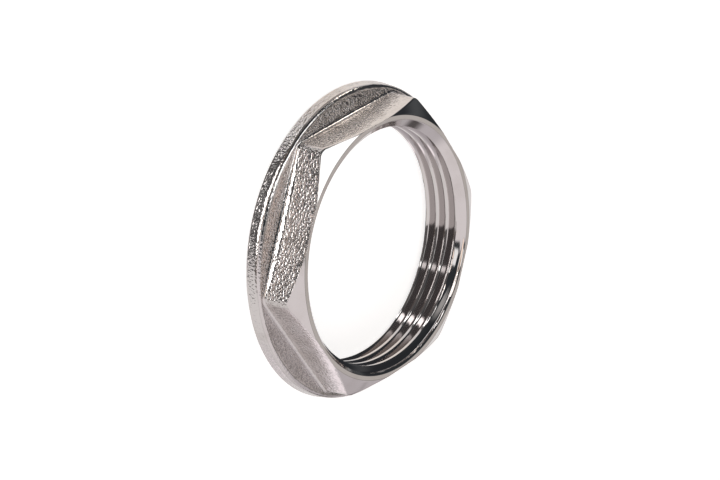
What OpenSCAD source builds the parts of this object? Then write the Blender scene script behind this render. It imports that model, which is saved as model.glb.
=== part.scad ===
// Flanged hexagon lock nut for a parallel pipe thread, forged and then machined in one piece.
// The nut lies on its seat face at z = 0, with the thread axis along +Z and a flat facing +X.

/* [Thread] */
// Diameter of the bore at the crests of the thread
bore_d = 45; // [30:0.5:60]
// Pitch of the right-handed thread
pitch = 2.309; // [1.5:0.001:3.5]
// Width of the thread's flat crests
crest_w = 0.55; // [0.3:0.05:0.9]
// Height of the thread groove's middle on the +X side
groove_z = 1.51; // [0:0.01:3.5]
// How far the lead-in cone at each mouth opens past the thread's roots
lead_in_past = 0.28; // [0.1:0.02:1]
// Depth of the lead-in cone at each mouth
lead_in_h = 1.3; // [0.6:0.1:2.5]

/* [Hexagon] */
// Height of the whole nut, from the seat to the front face
nut_h = 9.8; // [8:0.1:16]
// Width of the front face between the lead-in cone and the middle of a flat
flat_land = 0.55; // [0.3:0.05:3]
// Width of the front face between the lead-in cone and the corner chamfer
corner_land = 0.88; // [0.3:0.02:3]
// Angle of the corner chamfer, measured from the front face
chamfer_angle = 28; // [15:1:45]
// Draft of the forged flats
flat_draft = 3; // [0.5:0.5:7]
// Rounding of the upright corners, at the front face
corner_r = 2; // [0.5:0.1:3]
// Radius of the cove between the flats and the flange shelf
cove_r = 0.5; // [0.2:0.1:1]

/* [Flange] */
// Thickness of the flange, from the seat to the shelf
flange_h = 2.9; // [2.2:0.1:4.5]
// Flat ledge between the cove at a corner and the rim's rounded edge
flange_ledge = 0.1; // [0.1:0.1:6]
// Draft of the forged rim
rim_draft = 7; // [0.5:0.5:12]
// Rounding of the rim's front edge
rim_edge_r = 0.7; // [0.2:0.1:1.2]
// Width of the broken edge between the rim and the seat
seat_edge = 0.4; // [0.1:0.1:0.8]

/* [Hidden] */
// Number of flats, and the angle from one flat to the next
flats = 6;
flat_step = 360 / flats;
// Fragments of a full circle, and steps in one turn of the thread's helix
$fn = 180;
turn_steps = 60;
// Pipe thread form: half angle of its flanks, flat width of its roots, and its depth
flank_angle = 27.5;
root_w = pitch / 6;
thread_depth = (pitch - crest_w - root_w) / 2 / tan(flank_angle);
// How far the groove's cutter stands out of the bore's wall, clear of the next turn
groove_past = crest_w / 2;
// Half width of the groove at a depth behind the crests
function groove_half(depth) = (pitch - crest_w) / 2 - depth * tan(flank_angle);
// Steps of the helix, from below the seat to above the front
first_step = floor((-pitch / 2 - groove_z) / pitch * turn_steps);
last_step = ceil((nut_h + pitch / 2 - groove_z) / pitch * turn_steps);
// Radii on the front face
bore_r = bore_d / 2;
mouth_r = bore_r + thread_depth + lead_in_past;
land_r = mouth_r + corner_land;
flat_r = mouth_r + flat_land;
// Angles at which a cove and a rounded edge meet their faces
cove_angle = 15;
edge_angle = 8;
// The upright corners turn about axes that stand on a smaller hexagon
axis_flat_r = flat_r - corner_r * cos(edge_angle);
axis_side = 2 * axis_flat_r * tan(flat_step / 2);
axis_corner_r = axis_flat_r / cos(flat_step / 2);
// Reach of a drafted wall at a height, from its reach at the front face
function reach(front, z) = front + (nut_h - z) * tan(flat_draft);
// Height and outward place of the cove's centre; the cove dips just below the shelf
cove_z = flange_h + cove_r * cos(cove_angle);
function cove_x(front) = reach(front, cove_z) + cove_r * cos(cove_angle);
// Centre of the rim's rounded edge, and the rim's largest radius
edge_reach = rim_edge_r * cos(edge_angle);
edge_z = flange_h - edge_reach;
edge_r = axis_corner_r + cove_x(corner_r) + flange_ledge;
rim_r = edge_r + edge_reach / cos(rim_draft);
flange_r = rim_r + (edge_z - seat_edge) * tan(rim_draft);
// Heights between which the hexagon's walls run, rooted in the flange and past the front
root = flange_h / 2;
wall_top = nut_h + flat_land;

// Section of a drafted wall with the cove at its foot
module wall_section(front) {
    polygon([
        [0, root],
        [reach(front, root), root],
        [reach(front, wall_top), wall_top],
        [0, wall_top]
    ]);
    difference() {
        translate([0, root])
            square([cove_x(front), cove_z - root]);
        translate([cove_x(front), cove_z])
            circle(r = cove_r);
    }
}

// Two opposite flats, as one straight run of their section
module flat_pair() {
    rotate([90, 0, 0])
        linear_extrude(height = 2 * flange_r, center = true)
            for (side = [0, 1])
                mirror([side, 0])
                    wall_section(flat_r);
}

// Rounded corner posts, and the straight stretches between them
module corner_limits() {
    for (i = [0 : flats - 1])
        rotate([0, 0, (i + 0.5) * flat_step])
            translate([axis_corner_r, 0, 0])
                rotate_extrude()
                    wall_section(corner_r);
    for (i = [0 : flats / 2 - 1])
        rotate([0, 0, i * flat_step])
            translate([-flange_r, -axis_side / 2, 0])
                cube([2 * flange_r, axis_side, 2 * nut_h]);
}

// Drafted hexagon: three pairs of flats that cross, with their corners rounded
module hexagon() {
    intersection() {
        intersection_for (i = [0 : flats / 2 - 1])
            rotate([0, 0, i * flat_step])
                flat_pair();
        corner_limits();
    }
}

// Turned front: a flat land, and a cone that cuts the hexagon's corners
module turned_front() {
    cone_h = (flange_r - land_r) * tan(chamfer_angle);
    translate([0, 0, nut_h - cone_h])
        cylinder(r1 = flange_r, r2 = land_r, h = cone_h);
    cylinder(r = flange_r, h = nut_h - cone_h);
}

// Round flange with a drafted rim and a broken edge at the seat
module flange_section() {
    polygon([
        [0, 0],
        [flange_r - seat_edge, 0],
        [flange_r, seat_edge],
        [rim_r - edge_reach * tan(rim_draft), flange_h],
        [0, flange_h]
    ]);
}

// Outside this the rim's front edge is rounded away
module rim_limits() {
    translate([edge_r, edge_z])
        circle(r = rim_edge_r);
    polygon([
        [0, -flange_h],
        [2 * flange_r, -flange_h],
        [edge_r + flange_r * cos(rim_draft), edge_z + flange_r * sin(rim_draft)],
        [edge_r, edge_z],
        [edge_r, 2 * flange_h],
        [0, 2 * flange_h]
    ]);
}

module flange() {
    rotate_extrude()
        intersection() {
            flange_section();
            rim_limits();
        }
}

// Bore with a lead-in cone at each mouth; the cones run on past the faces
module bore() {
    past_r = 2 * mouth_r - bore_r;
    rotate_extrude()
        polygon([
            [0, -lead_in_h],
            [past_r, -lead_in_h],
            [bore_r, lead_in_h],
            [bore_r, nut_h - lead_in_h],
            [past_r, nut_h + lead_in_h],
            [0, nut_h + lead_in_h]
        ]);
}

// Groove of the thread: its section carried up the helix, step by step
module thread_groove() {
    section = [
        [bore_r - groove_past, -groove_half(-groove_past)],
        [bore_r + thread_depth, -groove_half(thread_depth)],
        [bore_r + thread_depth, groove_half(thread_depth)],
        [bore_r - groove_past, groove_half(-groove_past)]
    ];
    sides = len(section);
    spans = last_step - first_step;
    points = [
        for (step = [first_step : last_step], p = section)
            let (turn = step / turn_steps)
                [p.x * cos(360 * turn), p.x * sin(360 * turn), p.y + groove_z + pitch * turn]
    ];
    skin = [
        for (span = [0 : spans - 1], k = [0 : sides - 1])
            let (a = span * sides + k, b = span * sides + (k + 1) % sides)
                each [[a, b, b + sides], [a, b + sides, a + sides]]
    ];
    ends = [
        [for (k = [1 : sides]) sides - k],
        [for (k = [0 : sides - 1]) spans * sides + k]
    ];
    polyhedron(points = points, faces = concat(skin, ends));
}

module lock_nut() {
    color([0.78, 0.76, 0.74])
        difference() {
            union() {
                flange();
                intersection() {
                    hexagon();
                    turned_front();
                }
            }
            bore();
            thread_groove();
        }
}

lock_nut();
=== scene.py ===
import math
from functools import partial

import bmesh
import bpy
import numpy as np
from mathutils import Matrix, Vector


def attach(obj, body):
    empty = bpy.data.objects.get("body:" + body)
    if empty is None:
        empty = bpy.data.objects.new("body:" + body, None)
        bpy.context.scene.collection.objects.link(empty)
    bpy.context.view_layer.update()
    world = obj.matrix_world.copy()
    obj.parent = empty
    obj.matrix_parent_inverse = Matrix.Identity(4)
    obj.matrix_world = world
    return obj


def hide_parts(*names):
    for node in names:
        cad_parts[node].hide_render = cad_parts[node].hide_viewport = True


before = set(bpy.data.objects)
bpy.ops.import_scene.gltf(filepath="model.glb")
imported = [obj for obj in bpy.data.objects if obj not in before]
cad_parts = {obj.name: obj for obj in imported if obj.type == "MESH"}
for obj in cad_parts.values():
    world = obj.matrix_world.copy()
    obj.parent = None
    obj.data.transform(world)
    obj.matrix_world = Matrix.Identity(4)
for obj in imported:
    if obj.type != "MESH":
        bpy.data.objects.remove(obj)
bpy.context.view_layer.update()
scene = bpy.context.scene
scene.view_settings.view_transform = "Standard"
mm = 0.001
print("frame loaded")


# node helpers

def addNode(tree, kind, at=(0, 0), **settings):
    node = tree.nodes.new(kind)
    node.location = at
    for name, value in settings.items():
        setattr(node, name, value)
    return node


def feed(tree, source, target):
    tree.links.new(source, target)


def mathNode(tree, operation, *values, at=(0, 0)):
    node = addNode(tree, "ShaderNodeMath", at, operation=operation)
    for slot, value in zip(node.inputs, values):
        if isinstance(value, (int, float)):
            slot.default_value = value
        else:
            feed(tree, value, slot)
    return node.outputs[0]


# the nut: one closed skin, a ring of columns round the hexagon

nut = {
    "height": 9.8,  # millimetres, as in the part's source
    "boreRadius": 22.5,
    "mouthRadius": 24.1,
    "leadInDepth": 1.3,
    "flatRadius": 24.65,
    "landRadius": 24.98,
    "chamferAngle": 28.0,
    "flatDraft": 3.0,
    "cornerRadius": 1.85,  # same reach at the corners as the solid
    "coveRadius": 0.5,
    # tilts, steps and how far the radius opens out beside the middle of a flat
    "coveBands": ((90, 50, 5, 0.9), (50, 25, 3, -0.35), (25, 17, 3, 5.0), (17, 3, 3, 0.6)),
    "flangeHeight": 2.9,
    "flangeRadius": 30.016,
    "rimDraft": 7.0,
    "rimEdgeRadius": 0.7,
    "rimEdgeBands": ((7, 17, 2, 0.4), (17, 26, 3, 2.2), (26, 52, 3, -0.45), (52, 90, 5, 1.2)),
    "seatEdge": 0.4,
    "seatRounding": 0.12,  # between the seat and its broken edge
    "bevelRounding": 0.16,  # between the broken edge and the rim
    "rimRounding": 0.2,
    "brokenEdge": 0.07,  # worn edges of the turned faces
    "lowestLip": 1.5,  # the chamfer ends higher than this above the shelf
    "flatSteps": (15, 14),  # beside and under the chamfer's run-out
    "cornerSteps": 12,
    "steps": {"bend": 3, "seat": 6, "rim": 6, "shelf": 9, "wall": 13, "cone": 6, "land": 4},
    "weld": 4e-7,  # metres, as the next one
    "slimEdge": 1e-7,
    "sharpAngle": 34,
    "evenWeight": 80,
}

thread = {
    "pitch": 2.309,
    "crestWidth": 0.55,
    "flankAngle": 27.5,
    "depth": 1.32,
    "crestRounding": 0.11,
    "rootRounding": 0.5,
    "phase": 1.684,  # height of a crest at phaseAngle
    "phaseAngle": -153.0,
    # from a crest's middle
    "rows": (0.0, 0.12, 0.2, 0.26, 0.31, 0.38, 0.5, 0.64, 0.78, 0.88, 0.97, 1.06),
    "turns": (-4, 8),  # first and last, past both mouths
}

forging = {
    "waviness": 0.03,  # millimetres, as the next one
    "waveSize": 2.6,
    "seed": 3.0,
    "coarseFrom": 0.64,  # the flat that faces +X came out of the die rougher
    "coarseOver": 0.34,
    "plainSpread": 0.3,  # how far the roundings open out at the other flats
    # unevenness, grain, sand and satin of the forged faces; the satin share also sets where the
    # hollows get painted shade
    "rimFoot": (0.5, 0.15, 0.3),
    "rim": (1.0, 0.2, 0.55),
    "rimEdge": (0.6, 0.12, 0.15),
    "shelf": (1.0, 0.3, 0.7, 0.5),
    "cove": (0.2, 0.08, 0.1),
    "lip": (0.0, 0.15, 0.2),
    # the flats' rows, from the cove to the front
    "evenFrom": 10,
    "evenWaves": 0.4,
    "fadeFrom": 3,
    "fadeOver": 7,
    "fade": 0.8,  # how much smoother the other flats get towards the front, and how much less painted shade their hollows get
    "coarseGrain": 0.85,
    "plainGrain": 0.15,
    "plainSand": 0.65,
    "coarseLessSand": 0.5,
    "plainSatin": 0.4,
}


def columnPlaces():
    # axis point, outward direction and nearness to a flat's middle of each column, all round
    axisFlat = nut["flatRadius"] - nut["cornerRadius"]
    half = axisFlat * math.tan(math.radians(30))
    runOut = math.sqrt(nut["landRadius"] ** 2 - nut["flatRadius"] ** 2)
    outer, inner = nut["flatSteps"]
    along = np.concatenate([
        np.linspace(-half, -runOut, outer, endpoint=False),
        np.linspace(-runOut, runOut, inner, endpoint=False),
        np.linspace(runOut, half, outer, endpoint=False),
    ])
    points, angles, middle = [], [], []
    for i in range(6):
        turn = math.radians(60 * i)
        normal = np.array([math.cos(turn), math.sin(turn)])
        side = np.array([-math.sin(turn), math.cos(turn)])
        for y in along:
            points.append(axisFlat * normal + y * side)
            angles.append(turn)
            middle.append(1 - (y / half) ** 4)
        for j in range(nut["cornerSteps"]):
            points.append(axisFlat * normal + half * side)
            angles.append(turn + math.radians(60 * j / nut["cornerSteps"]))
            middle.append(0.0)
    angles = np.array(angles)
    normals = np.stack([np.cos(angles), np.sin(angles)], 1)
    return np.array(points), normals, np.array(middle)


def bend(start, corner, end, steps):
    # soft corner between two straight runs
    t = np.linspace(0, 1, steps + 1)[:, None, None]
    return (1 - t) ** 2 * start + 2 * t * (1 - t) * corner + t ** 2 * end


def straight(start, end, steps, ends=(True, True)):
    t = np.linspace(0, 1, steps + 1)[:, None, None]
    rows = start + (end - start) * t
    return rows[0 if ends[0] else 1:len(rows) if ends[1] else -1]


def rounding(bands, radius, share):
    # run and rise along a rounding of each column
    run, rise = [np.zeros(len(share))], [np.zeros(len(share))]
    for first, last, steps, spread in bands:
        tilt = np.radians(np.linspace(first, last, steps + 1))
        wide = radius + spread * share
        for a, b in zip(tilt, tilt[1:]):
            run.append(run[-1] + wide * abs(math.cos(b) - math.cos(a)))
            rise.append(rise[-1] + wide * abs(math.sin(b) - math.sin(a)))
    return run, rise


def unit(v):
    return v / np.maximum(np.linalg.norm(v, axis=-1, keepdims=True), 1e-9)


def nutRows():
    # rows of points from the back mouth, out over the flange and hexagon, to the front mouth
    axis, normal, middle = columnPlaces()
    top, shelf = nut["height"], nut["flangeHeight"]
    draft, rimDraft = math.radians(nut["flatDraft"]), math.radians(nut["rimDraft"])
    worn, steps, inner = nut["brokenEdge"], nut["steps"], (False, False)
    coarse = np.clip((normal[:, 0] - forging["coarseFrom"]) / forging["coarseOver"], 0, 1)
    spread = middle * (forging["plainSpread"] + (1 - forging["plainSpread"]) * coarse)

    def wall(z):
        reach = nut["cornerRadius"] + (top - z) * math.tan(draft)
        points = axis + normal * np.reshape(reach, (-1, 1))
        return np.column_stack([points, np.broadcast_to(z, len(axis))])

    front = wall(np.full(len(axis), top))
    angle = np.unwrap(np.arctan2(front[:, 1], front[:, 0]))

    def ring(r, z, theta=angle):
        height = np.broadcast_to(z, len(theta))
        return np.column_stack([r * np.cos(theta), r * np.sin(theta), height])

    coneRun = (nut["mouthRadius"] - nut["boreRadius"]) / nut["leadInDepth"]
    dip = worn / math.hypot(1, coneRun)  # how far the worn mouth reaches down the lead-in
    rows, turned, mask = [], [], []

    def add(points, isTurned, wavy=0.0, grainy=0.0, sandy=0.0, satin=0.0):
        shares = (wavy, grainy, sandy, satin)
        for p in points:
            rows.append(p)
            turned.append(isTurned)
            mask.append(np.column_stack([np.broadcast_to(v, len(axis)) for v in shares]))

    def rimAt(z):
        return nut["flangeRadius"] - (z - nut["seatEdge"]) * math.tan(rimDraft)

    # seat face and its broken edge
    seatRadius = nut["flangeRadius"] - nut["seatEdge"]
    mouth, seatStart = ring(nut["mouthRadius"], 0.0), ring(nut["mouthRadius"] + worn, 0.0)
    seatEnd, rimStart = ring(seatRadius, 0.0), ring(nut["flangeRadius"], nut["seatEdge"])
    seatBend = ring(seatRadius - nut["seatRounding"], 0.0)
    footHeight = nut["seatEdge"] + nut["rimRounding"]
    rimFoot = ring(rimAt(footHeight), footHeight)
    bevel = unit(rimStart - seatEnd)
    add(bend(ring(nut["mouthRadius"] - dip * coneRun, dip), mouth, seatStart, steps["bend"]), True)
    add(straight(seatStart, seatBend, steps["seat"], inner), True)
    add(bend(seatBend, seatEnd, seatEnd + nut["seatRounding"] * bevel, steps["bend"]), True)
    bevelBend = rimStart - nut["bevelRounding"] * bevel
    add(bend(bevelBend, rimStart, rimFoot, steps["bend"]), False, *forging["rimFoot"])

    # rim, its rounded edge and the shelf
    run, rise = rounding(nut["rimEdgeBands"], nut["rimEdgeRadius"], spread)
    rimTop = shelf - rise[-1]
    edge = [ring(rimAt(rimTop) - a, rimTop + b) for a, b in zip(run, rise)]
    add(straight(rimFoot, edge[0], steps["rim"], inner), False, *forging["rim"])
    add(edge, False, *forging["rimEdge"])
    run, rise = rounding(nut["coveBands"], nut["coveRadius"], spread)
    foot = nut["cornerRadius"] + (top - shelf - rise[-1]) * math.tan(draft) + run[-1]
    cove = [np.column_stack([axis + normal * (foot - a)[:, None], shelf + b])
            for a, b in zip(run, rise)]
    add(straight(edge[-1], cove[0], steps["shelf"], inner), False, *forging["shelf"])
    add(cove, False, *forging["cove"])

    # where the turned chamfer meets each column of the wall
    cone = 1 / math.tan(math.radians(nut["chamferAngle"]))
    low, high = np.full(len(axis), shelf + nut["lowestLip"]), np.full(len(axis), top)
    for _ in range(50):  # halves the stretch that is left
        z = (low + high) / 2
        inside = np.hypot(*wall(z).T[:2]) < nut["landRadius"] + (top - z) * cone
        low, high = np.where(inside, z, low), np.where(inside, high, z)
    lip = wall(low)
    land = ring(nut["landRadius"], top, np.unwrap(np.arctan2(lip[:, 1], lip[:, 0])))
    gap = np.linalg.norm(lip - land, axis=1, keepdims=True)
    flatTop = np.hypot(front[:, 0], front[:, 1]) <= nut["landRadius"] + 1e-6
    land[flatTop], lip[flatTop], gap[flatTop] = front[flatTop], front[flatTop], 0.0
    mouth = ring(nut["mouthRadius"], top)
    down, across, inward = unit(cove[-1] - lip), unit(land - lip), unit(mouth - land)
    wallEnd = lip + down * worn
    landStart = land + inward * worn
    short = np.minimum(worn, 0.45 * gap)  # both worn edges find room on the chamfer
    chamfer = np.concatenate([
        bend(wallEnd, lip, lip + across * short, steps["bend"]),
        straight(lip + across * short, land - across * short, steps["cone"], inner),
        bend(land - across * short, land, landStart, steps["bend"]),
    ])
    t = np.linspace(0, 1, len(chamfer))[:, None, None]
    whole = ((1 - t) ** 3 * wallEnd + 3 * t * (1 - t) ** 2 * lip
             + 3 * t ** 2 * (1 - t) * land + t ** 3 * landStart)
    share = np.clip(gap / (4 * worn), 0, 1)  # one soft bend where the chamfer runs out
    chamfer = whole + (chamfer - whole) * share * share * (3 - 2 * share)
    for i, row in enumerate(straight(cove[-1], wallEnd, steps["wall"], inner)):
        fade = np.clip((i - forging["fadeFrom"]) / forging["fadeOver"], 0, 1)
        left = 1 - forging["fade"] * (1 - coarse) * fade
        add([row], False, 1.0 if i < forging["evenFrom"] else forging["evenWaves"],
            forging["coarseGrain"] * coarse + forging["plainGrain"] * left,
            (forging["plainSand"] - forging["coarseLessSand"] * coarse) * left,
            forging["plainSatin"] * (1 - coarse) * left)
    add(chamfer[:2], False, *forging["lip"])
    add(chamfer[2:], True)

    # land and the worn front mouth
    landEnd = mouth - inward * worn
    mouthEnd = ring(nut["mouthRadius"] - dip * coneRun, top - dip)
    add(straight(landStart, landEnd, steps["land"], inner), True)
    add(bend(landEnd, mouth, mouthEnd, steps["bend"]), True)
    return rows, turned, mask, angle, dip, coneRun


def plainNut():
    rows, turned, mask, angle, dip, coneRun = nutRows()
    count = len(angle)
    verts = np.concatenate(rows)
    faces, faceTurned = [], []
    for i in range(len(rows) - 1):
        for k in range(count):
            n = (k + 1) % count
            faces.append((i * count + k, i * count + n, (i + 1) * count + n, (i + 1) * count + k))
            faceTurned.append(turned[i] and turned[i + 1])

    # bore wall: its rows follow the thread's helix, cut off at both mouths
    pitch, top = thread["pitch"], nut["height"]
    near = thread["rows"]
    steps = np.array(sorted([-d for d in near[1:]] + list(near) + [pitch / 2]))
    angle = angle - 2 * math.pi * round(angle[0] / (2 * math.pi))
    base = thread["phase"] - pitch * math.radians(thread["phaseAngle"]) / (2 * math.pi)
    starts = np.concatenate([base + pitch * n + steps for n in range(*thread["turns"])])
    perTurn, total = len(steps), len(starts)
    z = np.clip(starts[:, None] + pitch * angle[None, :] / (2 * math.pi), dip, top - dip)
    r = np.maximum(nut["boreRadius"], nut["mouthRadius"] - coneRun * np.minimum(z, top - z))
    offset = len(verts)
    bore = np.stack([r * np.cos(angle), r * np.sin(angle), z], -1).reshape(-1, 3)
    for j in range(total - 1):
        for k in range(count):
            n, jn = (k + 1, j) if k + 1 < count else (0, j + perTurn)
            if jn + 1 < total:
                faces.append((offset + j * count + k, offset + (j + 1) * count + k,
                              offset + (jn + 1) * count + n, offset + jn * count + n))
                faceTurned.append(True)
    verts = np.concatenate([verts, bore]) * mm
    mesh = bpy.data.meshes.new("lockNut")
    mesh.from_pydata(verts.tolist(), [], faces)
    mesh.attributes.new("turned", "BOOLEAN", "FACE").data.foreach_set("value", faceTurned)
    fields = {"boreWall": (np.zeros(offset), np.ones(len(bore)))}
    for name, values in zip(("forged", "grainy", "sandy", "satin"), np.concatenate(mask).T):
        fields[name] = (values, np.zeros(len(bore)))
    for name, values in fields.items():
        field = mesh.attributes.new(name, "FLOAT", "POINT")
        field.data.foreach_set("value", np.concatenate(values).astype(np.float32))
    work = bmesh.new()
    work.from_mesh(mesh)
    bmesh.ops.remove_doubles(work, verts=work.verts, dist=nut["weld"])
    bmesh.ops.dissolve_degenerate(work, edges=work.edges, dist=nut["slimEdge"])
    loose = [v for v in work.verts if not v.link_faces]
    bmesh.ops.delete(work, geom=loose, context="VERTS")
    bmesh.ops.recalc_face_normals(work, faces=work.faces)
    openEdges = sum(1 for e in work.edges if len(e.link_faces) != 2)
    work.to_mesh(mesh)
    work.free()
    print("plain nut:", len(mesh.vertices), "points,", len(mesh.polygons), "faces,",
          "open edges:", openEdges)
    return mesh


def threadTree(forgedFinish, turnedFinish):
    # cuts the helical thread into the bore wall and gives the forged faces their unevenness
    tree = bpy.data.node_groups.new("pipeThread", "GeometryNodeTree")
    sockets = {}
    tree.interface.new_socket("Geometry", in_out="INPUT", socket_type="NodeSocketGeometry")
    for name in ("Pitch", "Crest Radius", "Crest Width", "Flank Angle", "Depth",
                 "Crest Rounding", "Root Rounding", "Start Height", "Nut Height",
                 "Mouth Radius", "Lead-in Slope", "Waviness", "Wave Size", "Seed"):
        sockets[name] = tree.interface.new_socket(
            name, in_out="INPUT", socket_type="NodeSocketFloat")
    tree.interface.new_socket("Geometry", in_out="OUTPUT", socket_type="NodeSocketGeometry")
    given = addNode(tree, "NodeGroupInput", (-1400, 0))
    val = given.outputs
    place = addNode(tree, "ShaderNodeSeparateXYZ", (-1200, 300))
    feed(tree, addNode(tree, "GeometryNodeInputPosition", (-1400, 300)).outputs[0], place.inputs[0])
    x, y, z = place.outputs
    m = partial(mathNode, tree)
    turn = m("ARCTAN2", y, x)
    climb = m("MULTIPLY", m("DIVIDE", turn, 2 * math.pi), val["Pitch"])
    along = m("SUBTRACT", m("SUBTRACT", z, val["Start Height"]), climb)
    halfPitch = m("MULTIPLY", val["Pitch"], 0.5)
    aside = m("ABSOLUTE", m("WRAP", along, halfPitch, m("MULTIPLY", halfPitch, -1.0)))
    slope = m("DIVIDE", 1.0, m("TANGENT", m("RADIANS", val["Flank Angle"])))
    flank = m("MULTIPLY", m("SUBTRACT", aside, m("MULTIPLY", val["Crest Width"], 0.5)), slope)
    belowCrest = m("SMOOTH_MAX", flank, 0.0, val["Crest Rounding"])
    cut = m("SMOOTH_MIN", belowCrest, val["Depth"], val["Root Rounding"])
    groove = m("ADD", val["Crest Radius"], cut)
    fromEnd = m("MINIMUM", z, m("SUBTRACT", val["Nut Height"], z))
    leadIn = m("SUBTRACT", val["Mouth Radius"], m("MULTIPLY", fromEnd, val["Lead-in Slope"]))
    radius = m("MAXIMUM", groove, leadIn)
    cutPlace = addNode(tree, "ShaderNodeCombineXYZ", (-300, 300))
    feed(tree, m("MULTIPLY", radius, m("COSINE", turn)), cutPlace.inputs[0])
    feed(tree, m("MULTIPLY", radius, m("SINE", turn)), cutPlace.inputs[1])
    feed(tree, z, cutPlace.inputs[2])
    bore = addNode(tree, "GeometryNodeInputNamedAttribute", (-300, 150), data_type="FLOAT")
    bore.inputs["Name"].default_value = "boreWall"
    cutThread = addNode(tree, "GeometryNodeSetPosition", (-100, 200))
    feed(tree, m("GREATER_THAN", bore.outputs["Attribute"], 0.5), cutThread.inputs["Selection"])
    feed(tree, cutPlace.outputs[0], cutThread.inputs["Position"])
    plainRadius = m("MAXIMUM", val["Crest Radius"], leadIn)
    depth = addNode(tree, "GeometryNodeStoreNamedAttribute", (-300, 500),
                    data_type="FLOAT", domain="POINT")
    depth.inputs["Name"].default_value = "groove"
    feed(tree, val["Geometry"], depth.inputs["Geometry"])
    feed(tree, m("GREATER_THAN", bore.outputs["Attribute"], 0.5), depth.inputs["Selection"])
    feed(tree, m("DIVIDE", m("SUBTRACT", radius, plainRadius), val["Depth"]), depth.inputs["Value"])
    feed(tree, depth.outputs["Geometry"], cutThread.inputs["Geometry"])

    wave = addNode(tree, "ShaderNodeTexNoise", (-300, -100), noise_dimensions="4D")
    feed(tree, m("DIVIDE", 1.0, val["Wave Size"]), wave.inputs["Scale"])
    feed(tree, val["Seed"], wave.inputs["W"])
    wave.inputs["Detail"].default_value = 2.0
    forged = addNode(tree, "GeometryNodeInputNamedAttribute", (-300, -300), data_type="FLOAT")
    forged.inputs["Name"].default_value = "forged"
    dent = m("MULTIPLY", m("SUBTRACT", wave.outputs[0], 1.0), val["Waviness"])
    sink = m("MULTIPLY", dent, forged.outputs["Attribute"])
    push = addNode(tree, "ShaderNodeVectorMath", (-100, -200), operation="SCALE")
    feed(tree, addNode(tree, "GeometryNodeInputNormal", (-300, -500)).outputs[0], push.inputs[0])
    feed(tree, sink, push.inputs["Scale"])
    uneven = addNode(tree, "GeometryNodeSetPosition", (100, 200))
    feed(tree, cutThread.outputs[0], uneven.inputs["Geometry"])
    feed(tree, push.outputs[0], uneven.inputs["Offset"])
    whole = addNode(tree, "GeometryNodeRealizeInstances", (300, 200))
    feed(tree, uneven.outputs[0], whole.inputs[0])
    rough = addNode(tree, "GeometryNodeSetMaterial", (500, 200))
    rough.inputs["Material"].default_value = forgedFinish
    feed(tree, whole.outputs[0], rough.inputs["Geometry"])
    turned = addNode(tree, "GeometryNodeInputNamedAttribute", (500, 0), data_type="BOOLEAN")
    turned.inputs["Name"].default_value = "turned"
    bright = addNode(tree, "GeometryNodeSetMaterial", (700, 200))
    bright.inputs["Material"].default_value = turnedFinish
    feed(tree, turned.outputs["Attribute"], bright.inputs["Selection"])
    feed(tree, rough.outputs[0], bright.inputs["Geometry"])
    feed(tree, bright.outputs[0], addNode(tree, "NodeGroupOutput", (900, 200)).inputs[0])
    return tree, sockets


def makeNut(forgedFinish, turnedFinish):
    obj = bpy.data.objects.new("lockNut", plainNut())
    scene.collection.objects.link(obj)
    tree, sockets = threadTree(forgedFinish, turnedFinish)
    cutter = obj.modifiers.new("pipeThread", "NODES")
    cutter.node_group = tree
    slope = (nut["mouthRadius"] - nut["boreRadius"]) / nut["leadInDepth"]
    climbed = thread["pitch"] * thread["phaseAngle"] / 360
    values = {
        "Pitch": thread["pitch"] * mm, "Crest Radius": nut["boreRadius"] * mm,
        "Crest Width": thread["crestWidth"] * mm, "Depth": thread["depth"] * mm,
        "Flank Angle": thread["flankAngle"],
        "Crest Rounding": thread["crestRounding"] * mm, "Root Rounding": thread["rootRounding"] * mm,
        "Start Height": (thread["phase"] - climbed) * mm, "Nut Height": nut["height"] * mm,
        "Mouth Radius": nut["mouthRadius"] * mm, "Lead-in Slope": slope,
        "Waviness": forging["waviness"] * mm, "Wave Size": forging["waveSize"] * mm,
        "Seed": forging["seed"],
    }
    for name, value in values.items():
        cutter[sockets[name].identifier] = value
    mesh = plainMesh(obj)
    mesh.shade_smooth()
    mesh.set_sharp_from_angle(angle=math.radians(nut["sharpAngle"]))
    even = obj.modifiers.new("evenShading", "WEIGHTED_NORMAL")
    even.keep_sharp = True
    even.weight = nut["evenWeight"]
    plainMesh(obj)
    print("nut with thread:", len(obj.data.polygons), "faces")
    return obj


def plainMesh(obj):
    # the evaluated shape, kept as a plain mesh
    graph = bpy.context.evaluated_depsgraph_get()
    graph.update()
    shape = obj.evaluated_get(graph)
    mesh = bpy.data.meshes.new_from_object(shape, preserve_all_data_layers=True, depsgraph=graph)
    obj.modifiers.clear()
    obj.data = mesh
    return mesh


# finishes

plating = {
    "colour": (0.78, 0.748, 0.735),
    "stain": (0.62, 0.58, 0.55),
    "stainScale": 160.0,
    "stainDetail": 5.0,
    "stainRange": (0.45, 0.72),
    "stainRoughness": 0.08,
    "forgedStain": 0.6,  # amounts
    "turnedStain": 0.35,
    "groove": (0.63, 0.595, 0.59),  # darker towards the roots of the thread
    "grooveRange": (0.05, 0.3),
    "grainSize": 0.6,  # millimetres, as the next four
    "grainHeight": 0.25,
    "sandSize": 0.38,
    "sandHeight": 0.15,
    "patchSize": 1.7,
    "patchGain": 1.6,  # stronger and weaker grain, patch by patch
    "patchLeast": 0.2,
    "paintedHollowShade": (0.30, 0.275, 0.265),  # painted shade in the hollows between the sand's domes, where the plating is satin
    "paintedHollowShadeRange": (0.45, 0.75),
    "forgedRoughness": 0.07,
    "satinRoughness": 0.06,  # added where the plating is satin
    "turnedRoughness": 0.06,
    "latheStep": 0.12,  # millimetres, as the next one
    "latheHeight": 0.0012,
    "latheDetail": 3.0,
    "latheSlant": 0.7,  # carries the rings on over the cones
}


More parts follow.
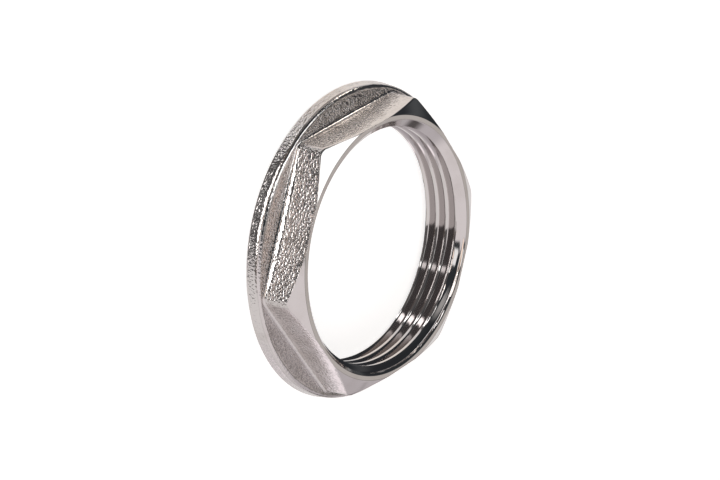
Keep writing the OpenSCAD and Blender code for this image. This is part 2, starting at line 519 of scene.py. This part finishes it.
def softRange(tree, value, limits, at):
    node = addNode(tree, "ShaderNodeMapRange", at, interpolation_type="SMOOTHSTEP")
    node.inputs["From Min"].default_value, node.inputs["From Max"].default_value = limits
    feed(tree, value, node.inputs["Value"])
    return node.outputs[0]


def platingTone():
    # shared by both finishes: faint stains in the plating
    group = bpy.data.node_groups.new("platingTone", "ShaderNodeTree")
    face = group.interface
    face.new_socket("Vector", in_out="INPUT", socket_type="NodeSocketVector")
    face.new_socket("Clean", in_out="INPUT", socket_type="NodeSocketColor")
    face.new_socket("Stained", in_out="INPUT", socket_type="NodeSocketColor")
    face.new_socket("Amount", in_out="INPUT", socket_type="NodeSocketFloat")
    face.new_socket("Smoothness", in_out="INPUT", socket_type="NodeSocketFloat")
    face.new_socket("Color", in_out="OUTPUT", socket_type="NodeSocketColor")
    face.new_socket("Roughness", in_out="OUTPUT", socket_type="NodeSocketFloat")
    given = addNode(group, "NodeGroupInput", (-700, 0))
    cloud = addNode(group, "ShaderNodeTexNoise", (-500, 100))
    cloud.inputs["Scale"].default_value = plating["stainScale"]
    cloud.inputs["Detail"].default_value = plating["stainDetail"]
    feed(group, given.outputs["Vector"], cloud.inputs["Vector"])
    stained = softRange(group, cloud.outputs[0], plating["stainRange"], (-300, 100))
    amount = mathNode(group, "MULTIPLY", stained, given.outputs["Amount"])
    mix = addNode(group, "ShaderNodeMix", (0, 100), data_type="RGBA")
    feed(group, amount, mix.inputs["Factor"])
    feed(group, given.outputs["Clean"], mix.inputs["A"])
    feed(group, given.outputs["Stained"], mix.inputs["B"])
    rougher = mathNode(group, "MULTIPLY", amount, plating["stainRoughness"])
    rough = mathNode(group, "ADD", given.outputs["Smoothness"], rougher)
    out = addNode(group, "NodeGroupOutput", (300, 0))
    feed(group, mix.outputs["Result"], out.inputs["Color"])
    feed(group, rough, out.inputs["Roughness"])
    return group


def startFinish(name, tone, smoothness, amount):
    material = bpy.data.materials.new(name)
    material.use_nodes = True
    tree = material.node_tree
    shader = tree.nodes["Principled BSDF"]
    shader.inputs["Metallic"].default_value = 1.0
    where = addNode(tree, "ShaderNodeTexCoord", (-1000, 0))
    plate = addNode(tree, "ShaderNodeGroup", (-500, 200), node_tree=tone)
    feed(tree, where.outputs["Object"], plate.inputs["Vector"])
    plate.inputs["Clean"].default_value = (*plating["colour"], 1)
    plate.inputs["Stained"].default_value = (*plating["stain"], 1)
    plate.inputs["Amount"].default_value = amount
    plate.inputs["Smoothness"].default_value = smoothness
    return material, tree, shader, plate, where.outputs["Object"]


def forgedNickel(tone):
    # grain of the blasted forging under the plating
    material, tree, shader, plate, where = startFinish(
        "forgedNickel", tone, plating["forgedRoughness"], plating["forgedStain"])
    satin = addNode(tree, "ShaderNodeAttribute", (-800, 400), attribute_name="satin")
    m = partial(mathNode, tree)
    dull = m("MULTIPLY", satin.outputs["Fac"], plating["satinRoughness"])
    feed(tree, m("ADD", plate.outputs["Roughness"], dull), shader.inputs["Roughness"])
    patch = addNode(tree, "ShaderNodeTexNoise", (-800, -650))
    patch.inputs["Scale"].default_value = 1 / (plating["patchSize"] * mm)
    feed(tree, where, patch.inputs["Vector"])
    uneven = m("ADD", m("MULTIPLY", patch.outputs[0], plating["patchGain"]), plating["patchLeast"])
    relief = 0.0
    for i, name in enumerate(("grain", "sand")):
        dome = addNode(tree, "ShaderNodeTexVoronoi", (-800, -200 - 300 * i))
        dome.inputs["Scale"].default_value = 1 / (plating[name + "Size"] * mm)
        feed(tree, where, dome.inputs["Vector"])
        share = addNode(tree, "ShaderNodeAttribute", (-800, -350 - 300 * i),
                        attribute_name=name + "y")
        out = dome.outputs["Distance"]
        height = m("MULTIPLY", m("MULTIPLY", out, out), share.outputs["Fac"])
        relief = m("SUBTRACT", relief, m("MULTIPLY", height, plating[name + "Height"] * mm))
    # painted shade in the hollows between the sand's domes, where the plating is satin
    paintedHollowShade = softRange(tree, dome.outputs["Distance"], plating["paintedHollowShadeRange"], (-600, 600))
    hollowShadeMix = addNode(tree, "ShaderNodeMix", (-250, 400), data_type="RGBA")
    feed(tree, m("MULTIPLY", paintedHollowShade, satin.outputs["Fac"]), hollowShadeMix.inputs["Factor"])
    feed(tree, plate.outputs["Color"], hollowShadeMix.inputs["A"])
    hollowShadeMix.inputs["B"].default_value = (*plating["paintedHollowShade"], 1)
    feed(tree, hollowShadeMix.outputs["Result"], shader.inputs["Base Color"])
    bump = addNode(tree, "ShaderNodeBump", (-300, -200))
    bump.inputs["Strength"].default_value = 1.0
    bump.inputs["Distance"].default_value = 1.0
    feed(tree, m("MULTIPLY", relief, uneven), bump.inputs["Height"])
    feed(tree, bump.outputs[0], shader.inputs["Normal"])
    return material


def turnedNickel(tone):
    # fine rings left by the lathe
    material, tree, shader, plate, where = startFinish(
        "turnedNickel", tone, plating["turnedRoughness"], plating["turnedStain"])
    # darker towards the roots of the thread, by the depth of the groove
    groove = addNode(tree, "ShaderNodeAttribute", (-900, 500), attribute_name="groove")
    inGroove = softRange(tree, groove.outputs["Fac"], plating["grooveRange"], (-700, 500))
    darkerAtRoot = addNode(tree, "ShaderNodeMix", (-250, 400), data_type="RGBA")
    feed(tree, inGroove, darkerAtRoot.inputs["Factor"])
    feed(tree, plate.outputs["Color"], darkerAtRoot.inputs["A"])
    darkerAtRoot.inputs["B"].default_value = (*plating["groove"], 1)
    feed(tree, darkerAtRoot.outputs["Result"], shader.inputs["Base Color"])
    feed(tree, plate.outputs["Roughness"], shader.inputs["Roughness"])
    place = addNode(tree, "ShaderNodeSeparateXYZ", (-900, -200))
    feed(tree, where, place.inputs[0])
    x, y, z = place.outputs
    m = partial(mathNode, tree)
    out = m("SQRT", m("ADD", m("MULTIPLY", x, x), m("MULTIPLY", y, y)))
    lathe = addNode(tree, "ShaderNodeTexNoise", (-500, -200), noise_dimensions="1D")
    feed(tree, m("ADD", out, m("MULTIPLY", z, plating["latheSlant"])), lathe.inputs["W"])
    lathe.inputs["Scale"].default_value = 1 / (plating["latheStep"] * mm)
    lathe.inputs["Detail"].default_value = plating["latheDetail"]
    bump = addNode(tree, "ShaderNodeBump", (-300, -200))
    bump.inputs["Strength"].default_value = 1.0
    bump.inputs["Distance"].default_value = plating["latheHeight"] * mm
    feed(tree, lathe.outputs[0], bump.inputs["Height"])
    feed(tree, bump.outputs[0], shader.inputs["Normal"])
    return material


tone = platingTone()
lockNut = makeNut(forgedNickel(tone), turnedNickel(tone))
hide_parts("lock_nut")
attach(lockNut, "root")
print("nut placed")


# studio: pale floor, soft panels all round, dark gaps between them

studio = {
    "floorSize": 3.0,
    "floorColour": (0.86, 0.855, 0.845),
    "floorRoughness": 0.9,
    "floorDrop": 0.02,  # millimetres under the seat
    "floorGlow": 0.72,  # lifts the floor to white for the camera, and keeps its shadow
    "room": (0.40, 0.39, 0.385),
    # what the metal shows all round, in degrees: azimuth and half width, height and half height,
    # softness; and the colour
    "panels": (
        ((0, 180), (-45, 45), 4, (0.76, 0.735, 0.73)),
        ((-22, 52), (-45, 47), 2, (0.10, 0.095, 0.096)),
        ((-117, 27), (-38, 17), 6, (0.88, 0.82, 0.77)),
        ((-94, 17), (-9, 12), 6, (0.28, 0.25, 0.23)),
        ((116, 20), (-33, 22), 8, (0.56, 0.525, 0.54)),
        ((120, 9), (-34, 6), 5, (1.06, 0.98, 1.02)),
        ((-8, 2.5), (-36, 7), 1, (1.6, 1.6, 1.6)),
        ((-66, 3.2), (-41, 8), 1, (2.2, 2.2, 2.2)),
        ((-59, 3.5), (-26, 6), 1, (3.0, 3.0, 3.0)),
        ((180, 36), (42, 26), 14, (0.16, 0.145, 0.135)),
        ((180, 9), (37, 9), 6, (0.53, 0.50, 0.48)),
        ((118, 14), (6, 8), 5, (1.3, 1.24, 1.26)),
        ((95, 56), (10, 13), 6, (0.66, 0.63, 0.63)),
        ((-18, 57), (24, 26), 4, (0.13, 0.112, 0.1)),
        ((0, 68), (75, 29), 8, (0.03, 0.034, 0.038)),
        ((0, 180), (88, 9), 8, (0.03, 0.034, 0.038)),
        ((0, 34), (48, 9), 6, (1.2, 1.0, 0.87)),
        ((-100, 44), (44, 26), 8, (0.03, 0.034, 0.038)),
        ((90, 60), (50, 29), 5, (0.78, 0.735, 0.745)),
        ((141, 18), (24, 22), 10, (0.54, 0.505, 0.525)),
        ((141, 9), (4, 9), 6, (0.10, 0.09, 0.09)),
        ((-147, 20), (24, 22), 6, (0.03, 0.033, 0.038)),
        ((-147, 3), (22, 22), 6, (0.075, 0.08, 0.085)),
        ((-8, 26), (6.5, 5.5), 5, (4.4, 4.35, 4.3)),
        ((8, 12), (67, 6), 4, (1.0, 1.0, 1.0)),
    ),
    "softboxes": (
        {"place": (11, -39, 68), "aim": (11, -39, 0), "size": (66, 26), "turn": 54,
         "power": 0.0082, "colour": (1, 1, 1)},
        {"place": (-7.5, -71, 32.4), "aim": (13.5, -23.4, 2.9), "size": (15, 15), "turn": 0,
         "power": 0.0023, "colour": (1, 0.93, 0.85)},
    ),
}


def softPanel():
    # one panel of light, or a dark gap, laid over what is behind it
    group = bpy.data.node_groups.new("softPanel", "ShaderNodeTree")
    face = group.interface
    for name, kind in (("Azimuth", "Float"), ("Height", "Float"), ("Centre", "Float"),
                       ("Half Width", "Float"), ("Middle", "Float"), ("Half Height", "Float"),
                       ("Softness", "Float"), ("Behind", "Color"), ("Panel", "Color")):
        face.new_socket(name, in_out="INPUT", socket_type="NodeSocket" + kind)
    face.new_socket("Color", in_out="OUTPUT", socket_type="NodeSocketColor")
    given = addNode(group, "NodeGroupInput", (-900, 0))
    val = given.outputs
    m = partial(mathNode, group)
    aside = m("ABSOLUTE", m("WRAP", m("SUBTRACT", val["Azimuth"], val["Centre"]), 180.0, -180.0))
    above = m("ABSOLUTE", m("SUBTRACT", val["Height"], val["Middle"]))
    over = m("MAXIMUM", m("SUBTRACT", aside, val["Half Width"]),
             m("SUBTRACT", above, val["Half Height"]))
    fade = addNode(group, "ShaderNodeMapRange", (-200, 100), interpolation_type="SMOOTHSTEP")
    feed(group, over, fade.inputs["Value"])
    feed(group, m("MULTIPLY", val["Softness"], 0.5), fade.inputs["From Min"])
    feed(group, m("MULTIPLY", val["Softness"], -0.5), fade.inputs["From Max"])
    mix = addNode(group, "ShaderNodeMix", (0, 100), data_type="RGBA")
    feed(group, fade.outputs[0], mix.inputs["Factor"])
    feed(group, val["Behind"], mix.inputs["A"])
    feed(group, val["Panel"], mix.inputs["B"])
    feed(group, mix.outputs["Result"], addNode(group, "NodeGroupOutput", (200, 0)).inputs[0])
    return group


def layPanels(tree, azimuth, height):
    # one panel over the other, and what shows in the end
    panel = softPanel()
    colour = None
    for i, (across, upright, softness, shade) in enumerate(studio["panels"]):
        node = addNode(tree, "ShaderNodeGroup", (-1100 + 180 * i, 0), node_tree=panel)
        feed(tree, azimuth, node.inputs["Azimuth"])
        feed(tree, height, node.inputs["Height"])
        for name, value in zip(("Centre", "Half Width", "Middle", "Half Height", "Softness"),
                               (*across, *upright, softness)):
            node.inputs[name].default_value = value
        node.inputs["Panel"].default_value = (*shade, 1)
        if colour is None:
            node.inputs["Behind"].default_value = (*studio["room"], 1)
        else:
            feed(tree, colour, node.inputs["Behind"])
        colour = node.outputs[0]
    return colour


def makeWorld():
    world = bpy.data.worlds.new("studio")
    scene.world = world
    world.use_nodes = True
    tree = world.node_tree
    back = tree.nodes["Background"]
    where = addNode(tree, "ShaderNodeTexCoord", (-1800, 0))
    place = addNode(tree, "ShaderNodeSeparateXYZ", (-1600, 0))
    feed(tree, where.outputs["Generated"], place.inputs[0])
    x, y, z = place.outputs
    azimuth = mathNode(tree, "DEGREES", mathNode(tree, "ARCTAN2", y, x))
    height = mathNode(tree, "DEGREES", mathNode(tree, "ARCSINE", z))
    colour = layPanels(tree, azimuth, height)
    rays = addNode(tree, "ShaderNodeLightPath", (-300, 300))
    mix = addNode(tree, "ShaderNodeMix", (500, 100), data_type="RGBA")
    feed(tree, rays.outputs["Is Camera Ray"], mix.inputs["Factor"])
    feed(tree, colour, mix.inputs["A"])
    mix.inputs["B"].default_value = (1, 1, 1, 1)
    feed(tree, mix.outputs["Result"], back.inputs["Color"])
    print("studio lit")


def makeFloor():
    half = studio["floorSize"] / 2
    mesh = bpy.data.meshes.new("floor")
    corners = [(-half, -half, 0), (half, -half, 0), (half, half, 0), (-half, half, 0)]
    mesh.from_pydata(corners, [], [(0, 1, 2, 3)])
    floor = bpy.data.objects.new("floor", mesh)
    floor.location.z = -studio["floorDrop"] * mm
    scene.collection.objects.link(floor)
    material = bpy.data.materials.new("paleFloor")
    material.use_nodes = True
    tree = material.node_tree
    shader = tree.nodes["Principled BSDF"]
    shader.inputs["Roughness"].default_value = studio["floorRoughness"]
    shader.inputs["Specular IOR Level"].default_value = 0.0
    shader.inputs["Base Color"].default_value = (*studio["floorColour"], 1)
    shader.inputs["Emission Color"].default_value = (1, 1, 1, 1)
    rays = addNode(tree, "ShaderNodeLightPath", (-900, 300))
    feed(tree, mathNode(tree, "MULTIPLY", rays.outputs["Is Camera Ray"], studio["floorGlow"]),
         shader.inputs["Emission Strength"])
    floor.visible_glossy = False  # the metal shows the panels instead
    mesh.materials.append(material)


def makeSoftboxes():
    for box in studio["softboxes"]:
        data = bpy.data.lights.new("softbox", "AREA")
        data.shape = "RECTANGLE"
        data.size, data.size_y = (length * mm for length in box["size"])
        data.energy, data.color = box["power"], box["colour"]
        lamp = bpy.data.objects.new("softbox", data)
        towards = Vector(box["aim"]) - Vector(box["place"])
        aim = towards.to_track_quat("-Z", "Y").to_matrix().to_4x4()
        turn = Matrix.Rotation(math.radians(box["turn"]), 4, "Z")
        lamp.matrix_world = Matrix.Translation(Vector(box["place"]) * mm) @ aim @ turn
        scene.collection.objects.link(lamp)


view = {
    "right": (-0.5769, -0.2169, 0.7875),
    "up": (0.1352, -0.9762, -0.1698),
    "back": (0.8056, 0.0085, 0.5925),
    "aim": (0, 0, 0.43),  # millimetres, as the next two
    "shift": (1.879, -0.0766),
    "distance": 600,
    "sensor": 36.0,
    "lens": 160.63,
    "clip": (0.01, 20.0),  # metres
}


def makeCamera():
    # the photo's view: looking down on the lying nut, rolled so that its axis points right
    right, up, back = (Vector(view[name]) for name in ("right", "up", "back"))
    data = bpy.data.cameras.new("camera")
    data.sensor_width, data.lens = view["sensor"], view["lens"]
    data.clip_start, data.clip_end = view["clip"]
    camera = bpy.data.objects.new("camera", data)
    aside, above = view["shift"]
    place = (Vector(view["aim"]) + aside * right + above * up + view["distance"] * back) * mm
    turn = Matrix((right, up, back)).transposed().to_4x4()
    camera.matrix_world = Matrix.Translation(place) @ turn
    scene.collection.objects.link(camera)
    scene.camera = camera


makeWorld()
makeFloor()
makeSoftboxes()
makeCamera()
print("stage set")
